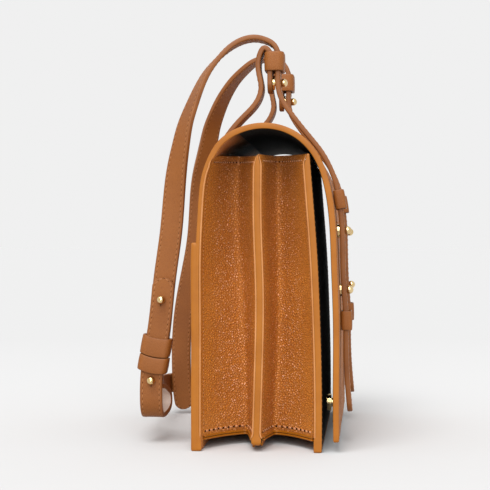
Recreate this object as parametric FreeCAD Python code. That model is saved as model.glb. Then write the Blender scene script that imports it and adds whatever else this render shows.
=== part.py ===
import FreeCAD, Part
import math
import os

# Leather satchel with a two-pocket bellows body, an arched flap, two belted hangers and a sling strap.
# Millimetres. X runs along the bag's width, -Y is the front, +Z is up, z = 0 is the floor.
# "forward" below is the distance towards the front, measured from the body's reference plane.

V = FreeCAD.Vector

# Driving dimensions
WIDTH = 220.0
DEPTH_SHIFT = 5.85
HALF = WIDTH / 2
FRONT_TOP = 208.4
DIVIDER_TOP = 208.3
GUSSET_TOP = 207.4

LEATHER = 2.6
LINING = 1.4
FRONT_LEATHER = 4.2
DIVIDER_LEATHER = 4.0
GUSSET = 1.3
GAP = 0.15
BELT_WIDTH = 17.0
BELT = 3.6
BELT_X = 61.0

FLANGE_WIDTH = 8.0
FOLD_DEPTH = 34.0
GUSSET_FOOT = 9.5
FOLD_STEPS = 6
GUSSET_LEVELS = [GUSSET_FOOT, 35, 60, 86, 113, 136, 158, 174, 186, 195, 202, GUSSET_TOP]
# Where the fold is deepest, as shares of a gusset's depth at its foot and at its top
REAR_VALLEY = (0.82, 0.54)
FRONT_VALLEY = (0.18, 0.28)
VALLEY_BEND = 0.75
FLOOR_HEIGHT = 12.0
FLOOR_CLEARANCE = 0.4
FLOOR_FLANGE_INSET = 36.0
REAR_FLANGE_FOOT = 2.0
FRONT_FLANGE_FOOT = 3.0
DIVIDER_FOOT = 4.4
FACING_FOOT = 165.0
LINING_FOOT = 16.0
LINING_INSET = 22.0
POCKET_TOP = 147.0
POCKET_LEATHER = 3.2
FLAP_FOOT = 7.4
HINGE_GAP = 0.3
FLAP_LINING_INSET = 14.0

BALL_RADIUS = 3.1
BALL_RISE = 1.9
NECK_RADIUS = 1.9
BUTTONHOLE_RADIUS = 2.6
BUTTONHOLE_DEPTH = 6.0
BASE_RADIUS = 5.0
SCREW_RADIUS = 1.4
SCREW_HEAD_RADIUS = 3.6
SCREW_HEAD = 0.9
SHANK_CLEARANCE = 0.1
HEAD_CLEARANCE = 0.3
DRILL_LENGTH = 12.0
SEAT = 0.05
MIN_STUD_BASE = 0.5
HANGER_STUD_BASE = 1.6
STRAP_STUD_BASE = 0.57
FAR_STUD_BASE = 0.6

KEEPER_WALL = 1.8
BELT_KEEPER_WALL = 1.3
KEEPER_HEIGHT = 14.0
KEEPER_EASE = 0.8
HANGER_KEEPER_HEIGHT = 13.0
HANGER_KEEPER_DEPTH = 10.6
STRAP_WIDTH = 16.3

# Side profiles, as (forward, height)
SHELL = [(-35.0, 0), (-35.0, 50), (-35.0, 100), (-34.9, 140), (-33.4, 172), (-30.0, 197), (-25.8, 207.5),
         (-18.6, 218.4), (-4.5, 227.3), (13.3, 230.6), (30.8, 226.8), (42.5, 219.0), (52.6, 205.6),
         (59.3, 186), (62.9, 162), (64.5, 130), (65.6, 95), (65.6, 50), (65.6, FLAP_FOOT)]
FRONT = [(53.6, 0), (53.6, 45), (52.5, 90), (50.3, 140), (47.3, 180), (45.0, FRONT_TOP)]
DIVIDER = [(7.7, DIVIDER_FOOT), (9.4, 60), (10.1, 113), (8.6, 160), (8.8, DIVIDER_TOP)]
HINGE = (37.7, 223.5)
ARCH_START = (-30.0, 197)
LINING_START = (-24.1, 210.4)
FACING_END = (0.0, 229)
HANGER = [(-37.0, 151), (-36.6, 165), (-34.8, 181), (-32.3, 196), (-27.8, 208.2), (-22.2, 217.6),
          (-14.5, 228.9), (-4.8, 239.7), (4.4, 250), (7.7, 260), (6.2, 270), (5.4, 278), (6.8, 285),
          (10.2, 289.6), (13.9, 286.6), (14.3, 279), (14.1, 272.7), (14.1, 256.4)]
YOKE = [(20.0, 287.6), (20.0, 272.6), (20.0, 263), (22.0, 253.4), (28.0, 243.4)]
BELT_LINE = [(46.3, 220.2), (51.5, 213.4), (56.4, 205), (62.3, 190), (64.8, 178), (66.6, 162), (67.3, 140),
             (68.3, 112), (69.4, 97), (69.7, 83), (70.2, 53), (72.6, 23)]
BELT_STUDS = [155.3, 112.0]
BELT_KEEPERS = {"upper": 178.2, "lower": 90.2}
HANGER_KEEPER_LOW = 272.6
HANGER_STUD_HEIGHT = 264.4
TAIL_FORWARD = 14.1
YOKE_FORWARD = 20.0
HANGER_KEEPER_FORWARD = 17.4
MAGNET_HEIGHT = 22.0
MAGNET_RADIUS = 6.5
MAGNET_PLATE = 2.6
NUB_RADIUS = 3.7
NUB_LENGTH = 5.3
SOCKET_HEIGHT = 3.4
SOCKET_FLOOR = 2.2
SOCKET_WALL = 2.2

# Sling strap stations: x, forward, height, turn of the ribbon's width from X towards Y (degrees)
STRAP_LEFT = [(-61, 18.2, 290, 0), (-61, 11.7, 295, 0), (-62, 1.7, 297.4, 2), (-63, -9.4, 294.5, 5),
              (-65, -18.1, 288.5, 8), (-67, -25.5, 280.7, 12), (-69, -31.3, 273, 18),
              (-72, -37.3, 261.1, 25), (-75, -42.5, 247.2, 33), (-78, -46.9, 233.1, 42),
              (-79.5, -49.8, 218.4, 52), (-80, -52.5, 202, 64), (-80, -57.1, 154, 86),
              (-80, -61.6, 121, 90), (-80, -66, 80, 90), (-80, -70, 56, 90)]
STRAP_RIGHT = [(61, 18.2, 290, 0), (61, 13, 296.5, 0), (61.5, 3, 300.5, -5), (62, -7.5, 298.5, -10),
               (63, -16, 292.5, -15), (65, -24.5, 284.6, -20), (68, -31.7, 275.5, -26),
               (71, -37.6, 265.8, -33), (74, -42.6, 255.2, -40), (77, -46.5, 245.3, -47),
               (79, -49.5, 233, -55), (80, -52, 222, -62), (82, -56, 205, -70), (84, -60.7, 152, -88),
               (84, -66.4, 119, -90), (84, -71.6, 90, -90), (84, -74.0, 60, -90), (84, -73.8, 33, -90),
               (84, -73.0, 20, -90), (84, -71.5, 10, -90), (84, -70.0, 4.0, -90)]
RIGHT_TIP_WIDTHS = {20: 15.4, 10: 11.0, 4.0: 4.0}
# Stations of width that turns from Y towards Z instead: x, forward, height, turn (degrees).
# CROSS_RUN carries the left strap on, from the adjuster's keepers to the right strap's outer face.
CROSS_RUN = [(-80, -70.8, 51, 0), (-79.5, -71.1, 48.6, 0), (-76.8, -71.5, 46, 0), (-68, -72.6, 44.6, 0),
             (-56, -74.6, 42.6, 12), (-38, -77.8, 39, 38), (-14, -81.2, 35, 66), (14, -83.6, 31.5, 84),
             (44, -84.8, 28.8, 90), (76, -85.2, 26.6, 90), (83.5, -85.1, 26, 90), (87.6, -84.2, 26, 90),
             (88.7, -79.7, 26, 90), (88.5, -72, 26, 90), (88.5, -66, 26, 90)]
STRAP_LOWER = [(-84.3, -61.4, 121.5, 0), (-84.3, -61.6, 119, 0), (-84.3, -62.2, 113, 0),
               (-84.3, -66, 80, 0), (-84.3, -70, 56, 0), (-84.3, -71, 38, 0), (-83, -71, 28, 0),
               (-78, -71, 22, 0), (-69, -70.6, 20.2, 0), (-59, -69.6, 22, 0), (-51.8, -68.8, 26.6, 0),
               (-52.6, -68.9, 33.4, 0), (-59.5, -69.6, 37.4, 0), (-68, -70.5, 40.6, 0),
               (-77.5, -71.2, 42.0, 0)]
LOWER_TIP_WIDTHS = {121.5: 5.0, 119: 11.5}
STRAP_STUDS = [105.5, 47.0]
STRAP_KEEPER_LOWS = [65.3, 51.0]
STRAP_KEEPER_HEIGHT = 13.7
CROSS_STUD_HEIGHT = 26.0
STRAP_LEAN = 1 / 6
STRAP_X = -80.0
RIGHT_STRAP_X = 84.0
STRAP_GAP = 0.7
STRAP_SEAT = 0.08
FAR_GAP = 0.9
ADJUSTER_DEPTH = 9.4
ADJUSTER_EASE = 1.6

os.makedirs("parts", exist_ok=True)


def save(name, *solids):
    """Write one node, a single solid or a group of separate solids."""
    shape = solids[0] if len(solids) == 1 else Part.makeCompound(list(solids))
    shape.exportStep("parts/" + name + ".step")


def at(forward, height, x=0.0):
    return V(x, -(forward + DEPTH_SHIFT), height)


def curve_through(points):
    curve = Part.BSplineCurve()
    curve.interpolate(points)
    return curve


def profile(pairs):
    return curve_through([at(forward, height) for forward, height in pairs])


def outward(curve, parameter):
    """Unit normal in the side view, to the rear of a rising curve."""
    tangent = V(*curve.tangent(parameter)[0])
    return tangent.cross(V(1, 0, 0)).normalize()


def offset_line(curve, start, end, distance, count):
    points = []
    for step in range(count + 1):
        parameter = start + (end - start) * step / count
        points.append(curve.value(parameter) + outward(curve, parameter) * distance)
    return points


def layer(curve, start, end, near, far, x_low, x_high, count=24):
    """A sheet that follows a side profile between two distances from it, extruded along X."""
    outer = offset_line(curve, start, end, near, count)
    inner = offset_line(curve, start, end, far, count)
    edges = [curve_through(outer).toShape(), Part.makeLine(outer[-1], inner[-1]),
             curve_through(inner).toShape(), Part.makeLine(inner[0], outer[0])]
    face = Part.Face(Part.Wire(Part.__sortEdges__(edges)))
    face.translate(V(x_low, 0, 0))
    return face.extrude(V(x_high - x_low, 0, 0))


def centred(curve, start, end, thickness, x_centre, width, count=24):
    return layer(curve, start, end, thickness / 2, -thickness / 2, x_centre - width / 2,
                 x_centre + width / 2, count)


def nearest(curve, pair):
    return curve.parameter(at(*pair))


def at_height(curve, height, start, end):
    """Curve parameter where the profile reaches a height, on a run that only rises or only falls."""
    rising = curve.value(end).z > curve.value(start).z
    low, high = start, end
    for _ in range(50):
        middle = (low + high) / 2
        if (curve.value(middle).z < height) == rising:
            low = middle
        else:
            high = middle
    return (low + high) / 2


def ribbon(stations, width_of, thickness, join=0):
    """A flat strap lofted through stations of centre point and width direction.

    A strap that turns through more than a right angle is lofted in two lengths, which meet at a station."""
    centres = [centre for centre, _ in stations]
    wires = []
    for index, (centre, direction) in enumerate(stations):
        before = centres[max(index - 1, 0)]
        after = centres[min(index + 1, len(centres) - 1)]
        along = (after - before).normalize()
        across = (direction - along * direction.dot(along)).normalize()
        through = along.cross(across).normalize()
        half_width = across * (width_of(index) / 2)
        half_depth = through * (thickness / 2)
        corners = [centre - half_width - half_depth, centre + half_width - half_depth,
                   centre + half_width + half_depth, centre - half_width + half_depth]
        wires.append(Part.makePolygon(corners + [corners[0]]))
    if not join:
        return Part.makeLoft(wires, True, True)
    return Part.makeLoft(wires[:join + 1], True, True).fuse(Part.makeLoft(wires[join:], True, True))


def rounded_tube(centre, axis_tilt, height, inner_depth, inner_width, wall, swap=False):
    """A leather keeper: a rounded rectangular sleeve around a strap, standing along its local Z."""
    def outline(depth, width, radius):
        box = Part.makeBox(width, depth, height, V(-width / 2, -depth / 2, 0))
        uprights = [edge for edge in box.Edges if abs(edge.BoundBox.ZLength - height) < 1e-6]
        return box.makeFillet(radius, uprights)
    outer = outline(inner_depth + 2 * wall, inner_width + 2 * wall, wall + 0.6)
    inner = outline(inner_depth, inner_width, 0.6)
    sleeve = outer.cut(inner)
    if swap:
        sleeve.rotate(V(0, 0, 0), V(0, 0, 1), 90)
    sleeve.rotate(V(0, 0, height / 2), V(1, 0, 0), axis_tilt)
    sleeve.translate(centre - V(0, 0, height / 2))
    return sleeve


def disc(centre, direction, radius, length):
    return Part.makeCylinder(radius, length, centre, direction)


def stud(base_centre, direction, base_thickness, reach):
    """Button stud turned in one piece: a base disc, a neck through the strap and a round ball head."""
    shoulder = math.sqrt(BALL_RADIUS ** 2 - NECK_RADIUS ** 2)
    corners = [V(0, 0, 0), V(BASE_RADIUS, 0, 0), V(BASE_RADIUS, 0, base_thickness),
               V(NECK_RADIUS, 0, base_thickness), V(NECK_RADIUS, 0, reach - shoulder)]
    edges = [Part.makeLine(corners[index], corners[index + 1]) for index in range(4)]
    tip = V(0, 0, reach + BALL_RADIUS)
    edges.append(Part.Arc(corners[4], V(BALL_RADIUS, 0, reach), tip).toShape())
    edges.append(Part.makeLine(tip, corners[0]))
    turned = Part.Face(Part.Wire(edges)).revolve(V(0, 0, 0), V(0, 0, 1), 360)
    turned.Placement = FreeCAD.Placement(base_centre, FreeCAD.Rotation(V(0, 0, 1), direction))
    return turned


def drilled(shape, holes):
    for centre, direction, radius, length in holes:
        shape = shape.cut(disc(centre - direction * (length / 2), direction, radius, length))
    return shape


shell = profile(SHELL)
front = profile(FRONT)
divider = profile(DIVIDER)
belt_line = profile(BELT_LINE)
first, last = shell.FirstParameter, shell.LastParameter
hinge_at = nearest(shell, HINGE)
hinge_step = HINGE_GAP / 2 / V(*shell.getD1(hinge_at)[1]).Length
arch_end = hinge_at - hinge_step
flap_start = hinge_at + hinge_step
lining_low = nearest(shell, LINING_START)
facing_end = nearest(shell, FACING_END)
crown = nearest(shell, (13.3, 230.6))


# Fixing points on the flap, one pair of studs for each belt
def belt_holes():
    points = []
    for height in BELT_STUDS:
        on_flap = at_height(shell, height, flap_start, last)
        points.append((shell.value(on_flap), outward(shell, on_flap)))
    return points


flap_fixings = belt_holes()
BELT_SIDES = {"left": -BELT_X, "right": BELT_X}


def make_body():
    """Back panel with its arch, slip pocket, linings, front panel and divider."""
    back_inside = -LEATHER
    save("back_panel", layer(shell, first, arch_end, 0, back_inside, -HALF, HALF, 40))
    lined = -LEATHER - GAP
    lining_start = at_height(shell, LINING_FOOT, first, crown)
    save("back_lining", layer(shell, lining_start, lining_low, lined, lined - LINING,
                              -HALF + LINING_INSET, HALF - LINING_INSET))
    save("arch_facing", layer(shell, lining_low + 0.01, facing_end, lined, lined - LINING, -HALF, HALF))
    save("arch_lining", layer(shell, facing_end + 0.01, arch_end, lined, lined - LINING, -HALF, HALF))
    pocket_end = at_height(shell, POCKET_TOP, first, crown)
    save("back_slip_pocket", layer(shell, first, pocket_end, GAP + POCKET_LEATHER, GAP, -HALF, HALF))
    socket = at_height(front, MAGNET_HEIGHT, front.FirstParameter, front.LastParameter)
    centre, normal = front.value(socket), outward(front, socket) * -1
    panel = layer(front, front.FirstParameter, front.LastParameter, 0, FRONT_LEATHER, -HALF, HALF)
    panel = drilled(panel, [(centre, normal, SCREW_RADIUS + SHANK_CLEARANCE, DRILL_LENGTH)])
    save("front_panel", panel)
    inner_face = FRONT_LEATHER + GAP
    front_start = at_height(front, LINING_FOOT, front.FirstParameter, front.LastParameter)
    lining = layer(front, front_start, front.LastParameter, inner_face, inner_face + LINING,
                   -HALF + LINING_INSET, HALF - LINING_INSET)
    opening = (centre, normal, SCREW_HEAD_RADIUS + HEAD_CLEARANCE, DRILL_LENGTH)
    save("front_lining", drilled(lining, [opening]))
    rim = disc(centre + normal * GAP, normal, MAGNET_RADIUS, SOCKET_HEIGHT)
    well = disc(centre + normal * SOCKET_FLOOR, normal, MAGNET_RADIUS - SOCKET_WALL, SOCKET_HEIGHT)
    post = disc(centre - normal * FRONT_LEATHER, normal, SCREW_RADIUS, FRONT_LEATHER + 0.5)
    save("magnet_socket", rim.cut(well).fuse(post).removeSplitter())
    washer_at = centre - normal * (FRONT_LEATHER + SEAT + SCREW_HEAD)
    save("magnet_socket_washer", disc(washer_at, normal, SCREW_HEAD_RADIUS, SCREW_HEAD))
    save("divider_panel", layer(divider, divider.FirstParameter, divider.LastParameter,
                                DIVIDER_LEATHER / 2, -DIVIDER_LEATHER / 2, -HALF, HALF))
    facing_low = at_height(divider, FACING_FOOT, divider.FirstParameter, divider.LastParameter)
    facings = []
    for side in (1, -1):
        face = side * (DIVIDER_LEATHER / 2 + GAP)
        facings.append(layer(divider, facing_low, divider.LastParameter, face, face + side * LINING,
                             -HALF + LINING_INSET, HALF - LINING_INSET))
    save("divider_facings", *facings)


def compartment(height, rear):
    """Forward positions of the two leather faces that a gusset spans at a height."""
    back_at = at_height(shell, height, first, crown)
    divider_at = at_height(divider, height, divider.FirstParameter, divider.LastParameter)
    front_at = at_height(front, height, front.FirstParameter, front.LastParameter)
    half_divider = DIVIDER_LEATHER / 2 + GAP
    if rear:
        back_depth = (LEATHER + GAP) / outward(shell, back_at).y
        return shell.value(back_at).y - back_depth, divider.value(divider_at).y + half_divider
    return divider.value(divider_at).y - half_divider, front.value(front_at).y + FRONT_LEATHER + GAP


def bellows(height, rear, inset):
    """Plan view of a gusset: flange, inward fold and flange, at a distance outside its middle."""
    valley = valley_at(height, rear)
    y_start, y_end = compartment(height, rear)
    y_start, y_end = y_start - GUSSET / 2, y_end + GUSSET / 2
    mouth = HALF - FLANGE_WIDTH
    points = [V(-HALF, y_start, 0)]
    for step in range(-FOLD_STEPS, FOLD_STEPS + 1):
        along = 1 + step / FOLD_STEPS if step < 0 else 1 - step / FOLD_STEPS
        share = valley * along if step < 0 else 1 - (1 - valley) * along
        depth = FOLD_DEPTH * math.sin(math.pi / 2 * along) ** 0.9
        points.append(V(-mouth + depth, y_start + (y_end - y_start) * share, 0))
    points.append(V(-HALF, y_end, 0))
    shifted = []
    for index, point in enumerate(points):
        before = points[max(index - 1, 0)]
        after = points[min(index + 1, len(points) - 1)]
        along = (after - before).normalize()
        shifted.append(point + V(-along.y, along.x, 0) * inset + V(0, 0, height))
    return shifted


def valley_at(height, rear):
    """The fold's valley leans evenly from the foot of a gusset to its top."""
    foot, top = REAR_VALLEY if rear else FRONT_VALLEY
    return foot + (top - foot) * ((height - GUSSET_FOOT) / (GUSSET_TOP - GUSSET_FOOT)) ** VALLEY_BEND


def gusset(rear, side):
    """Side gusset: a ruled bellows sheet between closely spaced heights."""
    wires = []
    for height in GUSSET_LEVELS:
        outer = bellows(height, rear, GUSSET / 2)
        inner = bellows(height, rear, -GUSSET / 2)
        wires.append(Part.makePolygon(outer + inner[::-1] + outer[:1]))
    sheet = Part.makeLoft(wires, True, True)
    return sheet if side < 0 else sheet.mirror(V(0, 0, 0), V(1, 0, 0))


def bottom_gusset(rear):
    """Compartment floor, cut to the folds of the side gussets, with flanges turned down the panels."""
    fold = bellows(FLOOR_HEIGHT, rear, GUSSET / 2 + FLOOR_CLEARANCE)[3:-3]
    other = [V(-point.x, point.y, point.z) for point in reversed(fold)]
    outline = Part.makePolygon(fold + other + fold[:1])
    plate = Part.Face(outline).extrude(V(0, 0, LINING))
    y_rear, y_front = compartment(FLOOR_HEIGHT, rear)
    foot = REAR_FLANGE_FOOT if rear else FRONT_FLANGE_FOOT
    width = 2 * (HALF - FLANGE_WIDTH - FLOOR_FLANGE_INSET)
    height = FLOOR_HEIGHT + LINING - foot
    rear_flange = Part.makeBox(width, LINING, height, V(-width / 2, y_rear - LINING - GAP, foot))
    front_flange = Part.makeBox(width, LINING, height, V(-width / 2, y_front + GAP, foot))
    corner = V(-width / 2, y_front + GAP, FLOOR_HEIGHT)
    bridge = Part.makeBox(width, y_rear - y_front - 2 * GAP, LINING, corner)
    plate = plate.fuse(bridge)
    return plate.fuse(rear_flange).fuse(front_flange).removeSplitter()


def make_gussets():
    for name, rear in (("rear", True), ("front", False)):
        save(name + "_gusset_left", gusset(rear, -1))
        save(name + "_gusset_right", gusset(rear, 1))
        save(name + "_bottom_gusset", bottom_gusset(rear))


def make_flap():
    """Front flap below its flex line, with its lining, snap and belt screws."""
    holes = []
    for x in BELT_SIDES.values():
        for centre, normal in flap_fixings:
            holes.append((centre + V(x, 0, 0), normal, SCREW_RADIUS + SHANK_CLEARANCE, DRILL_LENGTH))
    snap = at_height(shell, MAGNET_HEIGHT, flap_start, last)
    centre, normal = shell.value(snap), outward(shell, snap)
    leather = layer(shell, flap_start, last, 0, -LEATHER, -HALF, HALF, 40)
    save("flap", drilled(leather, holes))
    lined = -LEATHER - GAP
    lining_end = at_height(shell, FLAP_FOOT + FLAP_LINING_INSET, flap_start, last)
    lining = layer(shell, flap_start, lining_end, lined, lined - LINING,
                   -HALF + FLAP_LINING_INSET, HALF - FLAP_LINING_INSET, 40)
    wide = [(middle, out, SCREW_HEAD_RADIUS + HEAD_CLEARANCE, DRILL_LENGTH) for middle, out, _, _ in holes]
    wide.append((centre, normal, MAGNET_RADIUS + HEAD_CLEARANCE, DRILL_LENGTH))
    save("flap_lining", drilled(lining, wide))
    seat = centre - normal * (LEATHER + SEAT)
    plate = disc(seat, normal * -1, MAGNET_RADIUS, MAGNET_PLATE)
    nub = disc(seat, normal * -1, NUB_RADIUS, NUB_LENGTH)
    save("magnet_stud", plate.fuse(nub).removeSplitter())


def make_belts():
    """Front belts with their studs, screws and keepers."""
    studs, screws = [], []
    begin, end = belt_line.FirstParameter, belt_line.LastParameter
    for side, x in BELT_SIDES.items():
        holes = []
        for centre, normal in flap_fixings:
            on_belt = at_height(belt_line, centre.z, begin, end)
            gap = (belt_line.value(on_belt) - centre).dot(normal) - BELT / 2
            place = centre + V(x, 0, 0)
            base = max(gap - GAP, MIN_STUD_BASE)
            studs.append(stud(place + normal * SEAT, normal, base, gap + BELT + BALL_RISE))
            head_at = place - normal * (LEATHER + SEAT + SCREW_HEAD)
            head = disc(head_at, normal, SCREW_HEAD_RADIUS, SCREW_HEAD)
            shank = disc(place - normal * (LEATHER + 0.1), normal, SCREW_RADIUS, LEATHER)
            screws.append(head.fuse(shank).removeSplitter())
            holes.append((place + normal * (gap + BELT), normal, BUTTONHOLE_RADIUS, DRILL_LENGTH))
        belt = centred(belt_line, begin, end, BELT, x, BELT_WIDTH, 30)
        save("belt_" + side, drilled(belt, holes))
        for level, height in BELT_KEEPERS.items():
            on_belt = at_height(belt_line, height, begin, end)
            middle = belt_line.value(on_belt)
            along = V(*belt_line.tangent(on_belt)[0])
            tilt = math.degrees(math.atan2(along.y, -along.z))
            sleeve = rounded_tube(middle + V(x, 0, 0) + outward(belt_line, on_belt) * 0.5, tilt,
                                  KEEPER_HEIGHT, BELT + 1.6, BELT_WIDTH + KEEPER_EASE, BELT_KEEPER_WALL)
            save("belt_keeper_%s_%s" % (level, side), sleeve)
    save("belt_studs", *studs)
    save("belt_stud_screws", *screws)


def make_hangers():
    """Top hangers: a folded strap from the back, the belt's upper end, a keeper and a button stud."""
    loop = profile(HANGER)
    yoke = profile(YOKE)
    studs = []
    for side, x in BELT_SIDES.items():
        height = HANGER_STUD_HEIGHT
        face = at(TAIL_FORWARD + BELT / 2, height, x)
        out = V(0, -1, 0)
        hole = [(at(YOKE_FORWARD, height, x), out, BUTTONHOLE_RADIUS, BUTTONHOLE_DEPTH)]
        folded = centred(loop, loop.FirstParameter, loop.LastParameter, BELT, x, BELT_WIDTH, 48)
        save("hanger_" + side, folded)
        upper = centred(yoke, yoke.FirstParameter, yoke.LastParameter, BELT, x, BELT_WIDTH)
        save("belt_top_" + side, drilled(upper, hole))
        reach = YOKE_FORWARD - TAIL_FORWARD
        studs.append(stud(face + out * SEAT, out, HANGER_STUD_BASE, reach + BALL_RISE))
        middle = at(HANGER_KEEPER_FORWARD, HANGER_KEEPER_LOW + KEEPER_HEIGHT / 2, x)
        save("hanger_keeper_" + side, rounded_tube(middle, 0, HANGER_KEEPER_HEIGHT, HANGER_KEEPER_DEPTH,
                                                   BELT_WIDTH + KEEPER_EASE, KEEPER_WALL))
    save("hanger_studs", *studs)


def strap_stations(rows):
    stations = []
    for x, forward, height, turn in rows:
        angle = math.radians(turn)
        stations.append((at(forward, height, x), V(math.cos(angle), math.sin(angle), 0)))
    return stations


def loop_stations(rows):
    stations = []
    for x, forward, height, turn in rows:
        angle = math.radians(turn)
        stations.append((at(forward, height, x), V(0, math.cos(angle), math.sin(angle))))
    return stations


def tapered(rows, tip_widths):
    """Width at each station, narrowed where the strap's tip is rounded."""
    return lambda index: tip_widths.get(rows[index][2], STRAP_WIDTH)


def make_strap():
    """Sling strap: two upper straps, the left one carried across to the right, and the adjuster's loop."""
    left = ribbon(strap_stations(STRAP_LEFT) + loop_stations(CROSS_RUN), lambda index: STRAP_WIDTH, BELT,
                  len(STRAP_LEFT) - 1)
    right = ribbon(strap_stations(STRAP_RIGHT), tapered(STRAP_RIGHT, RIGHT_TIP_WIDTHS), BELT)
    lower = ribbon(loop_stations(STRAP_LOWER), tapered(STRAP_LOWER, LOWER_TIP_WIDTHS), BELT)
    out = V(-1, 0, 0)
    holes, studs = [], []
    for height in STRAP_STUDS:
        centre = at(strap_forward(height), height, STRAP_X - BELT / 2)
        studs.append(stud(centre + out * STRAP_SEAT, out, STRAP_STUD_BASE, BELT + STRAP_GAP + BALL_RISE))
        holes.append((centre + out * BELT, out, BUTTONHOLE_RADIUS, BUTTONHOLE_DEPTH))
    far = at(-73.5, CROSS_STUD_HEIGHT, RIGHT_STRAP_X + BELT / 2)
    studs.append(stud(far - out * SEAT, out * -1, FAR_STUD_BASE, BELT + FAR_GAP + BALL_RISE))
    save("strap_left", drilled(left, [(far - out * BELT, out, BUTTONHOLE_RADIUS, BUTTONHOLE_DEPTH)]))
    save("strap_right", right)
    save("strap_lower", drilled(lower, holes))
    save("strap_studs", *studs)
    keepers = []
    for low in STRAP_KEEPER_LOWS:
        middle = low + STRAP_KEEPER_HEIGHT / 2
        sleeve = rounded_tube(V(0, 0, 0), 0, STRAP_KEEPER_HEIGHT, ADJUSTER_DEPTH,
                              STRAP_WIDTH + ADJUSTER_EASE, KEEPER_WALL, True)
        sleeve.rotate(V(0, 0, 0), V(1, 0, 0), math.degrees(math.atan(STRAP_LEAN)))
        sleeve.translate(at(strap_forward(middle), middle, STRAP_X - (BELT + STRAP_GAP) / 2))
        keepers.append(sleeve)
    save("strap_keepers", *keepers)


def strap_forward(height):
    """Forward position of the adjuster's layers at a height."""
    for above, below in zip(STRAP_LOWER, STRAP_LOWER[1:]):
        if above[2] >= height >= below[2]:
            share = (above[2] - height) / (above[2] - below[2])
            return above[1] + (below[1] - above[1]) * share


make_body()
make_gussets()
make_flap()
make_belts()
make_hangers()
make_strap()
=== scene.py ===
import bmesh
import bpy
import math
import random
import numpy as np
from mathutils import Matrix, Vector


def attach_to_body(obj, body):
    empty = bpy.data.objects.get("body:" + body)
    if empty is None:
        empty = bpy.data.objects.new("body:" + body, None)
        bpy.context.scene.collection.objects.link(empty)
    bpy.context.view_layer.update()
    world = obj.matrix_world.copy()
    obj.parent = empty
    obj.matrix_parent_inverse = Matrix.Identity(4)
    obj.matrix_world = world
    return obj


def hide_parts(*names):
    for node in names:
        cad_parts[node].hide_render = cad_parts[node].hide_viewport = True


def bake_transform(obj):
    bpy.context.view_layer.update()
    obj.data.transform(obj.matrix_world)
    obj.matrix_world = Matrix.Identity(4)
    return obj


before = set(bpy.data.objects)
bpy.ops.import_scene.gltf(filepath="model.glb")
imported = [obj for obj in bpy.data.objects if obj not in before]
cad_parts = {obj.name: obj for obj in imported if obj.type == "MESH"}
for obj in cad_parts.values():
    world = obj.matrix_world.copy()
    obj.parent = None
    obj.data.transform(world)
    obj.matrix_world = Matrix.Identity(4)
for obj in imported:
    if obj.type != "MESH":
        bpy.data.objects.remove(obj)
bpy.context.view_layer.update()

# Sizes in millimetres: X along the bag's width, -Y is the front, +Z is up. "forward" is the distance
# towards the front from the body's reference plane, as in the CAD source.
DEPTH_SHIFT = 5.85
HALF = 110.0
LEATHER = 2.6
LINED = 4.1
FACED = 1.45
GUSSET = 1.3
FRONT_LEATHER = 4.2
DIVIDER_LEATHER = 4.0
BELT = 3.6
BELT_WIDTH = 17.0
BELT_X = 61.0
STRAP_WIDTH = 16.3
FLANGE_WIDTH = 8.0
FOLD_DEPTH = 34.0
GUSSET_TOP = 207.6
FRONT_GUSSET_RISE = 1.0
GUSSET_FOOT = 9.5
FRONT_TOP = 209.0
DIVIDER_TOP = 208.8
POINT_HEIGHT = 9.0
POCKET_TOP = 147.0
PITCH = 3.9
FINE_PITCH = 2.7
SEAM_INSET = 3.0
FAR_SAG = 2.4
POCKET_LEVEL = 3.35
FRONT_POINT = 2.2
SUEDE_SHEET = 1.3
TUCK = 0.5                      # how far a lining's back is sunk into the leather
LINING_INSET = 10.0
ARCH_START = 207.0
FLOOR_HEIGHT = 12.0
MILLIMETRE = 0.001
SIDES = (("left", -BELT_X), ("right", BELT_X))
STRAP_ROUNDING = 0.9
KEEPER_HEIGHT = 14.0
KEEPER_WALL = 1.8
KEEPER_ROOM = 0.8               # how much wider than its belt a keeper is
BELT_KEEPERS = (("upper", 178.2), ("lower", 90.2))
HANGER_KEEPER = (17.4, 279.6)
BUTTONHOLES = (105.5, 47.0)
BUTTONHOLE_RADIUS = 2.4
# Face steps across a hide, a wall and a strap, and steps round one corner of a strip's section.
HIDE_STEPS, WALL_STEPS, STRAP_STEPS = 26, 20, 6
CORNER_STEPS = 3
STITCH_SIDES, HOLE_SIDES = 6, 8
STITCH_SLANT = 0.12
# A stitch's rings: share of its length, share of its radius, and height in radii.
STITCH_SHAPE = (
    (0.0, 0.35, -1.0), (0.12, 0.8, -0.5), (0.35, 1.0, -0.35),
    (0.65, 1.0, -0.35), (0.88, 0.8, -0.5), (1.0, 0.35, -1.0))

# The camera, in metres and radians, and the brightness of sky and floor.
CAMERA_PLACE = (-0.9773, -0.09085, 0.145)
CAMERA_TURN = math.atan2(-0.99523, 0.09753)
SENSOR = 36.0
FOCAL_RATIO = 2.54082
BACKDROP = 0.871
# Floor albedo near the bag and far off: the near one is a little higher, painted light that offsets the
# shade the bag casts round itself.
FLOOR_ALBEDOS_WITH_PAINTED_LIGHT = (0.53, 0.5)

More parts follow.
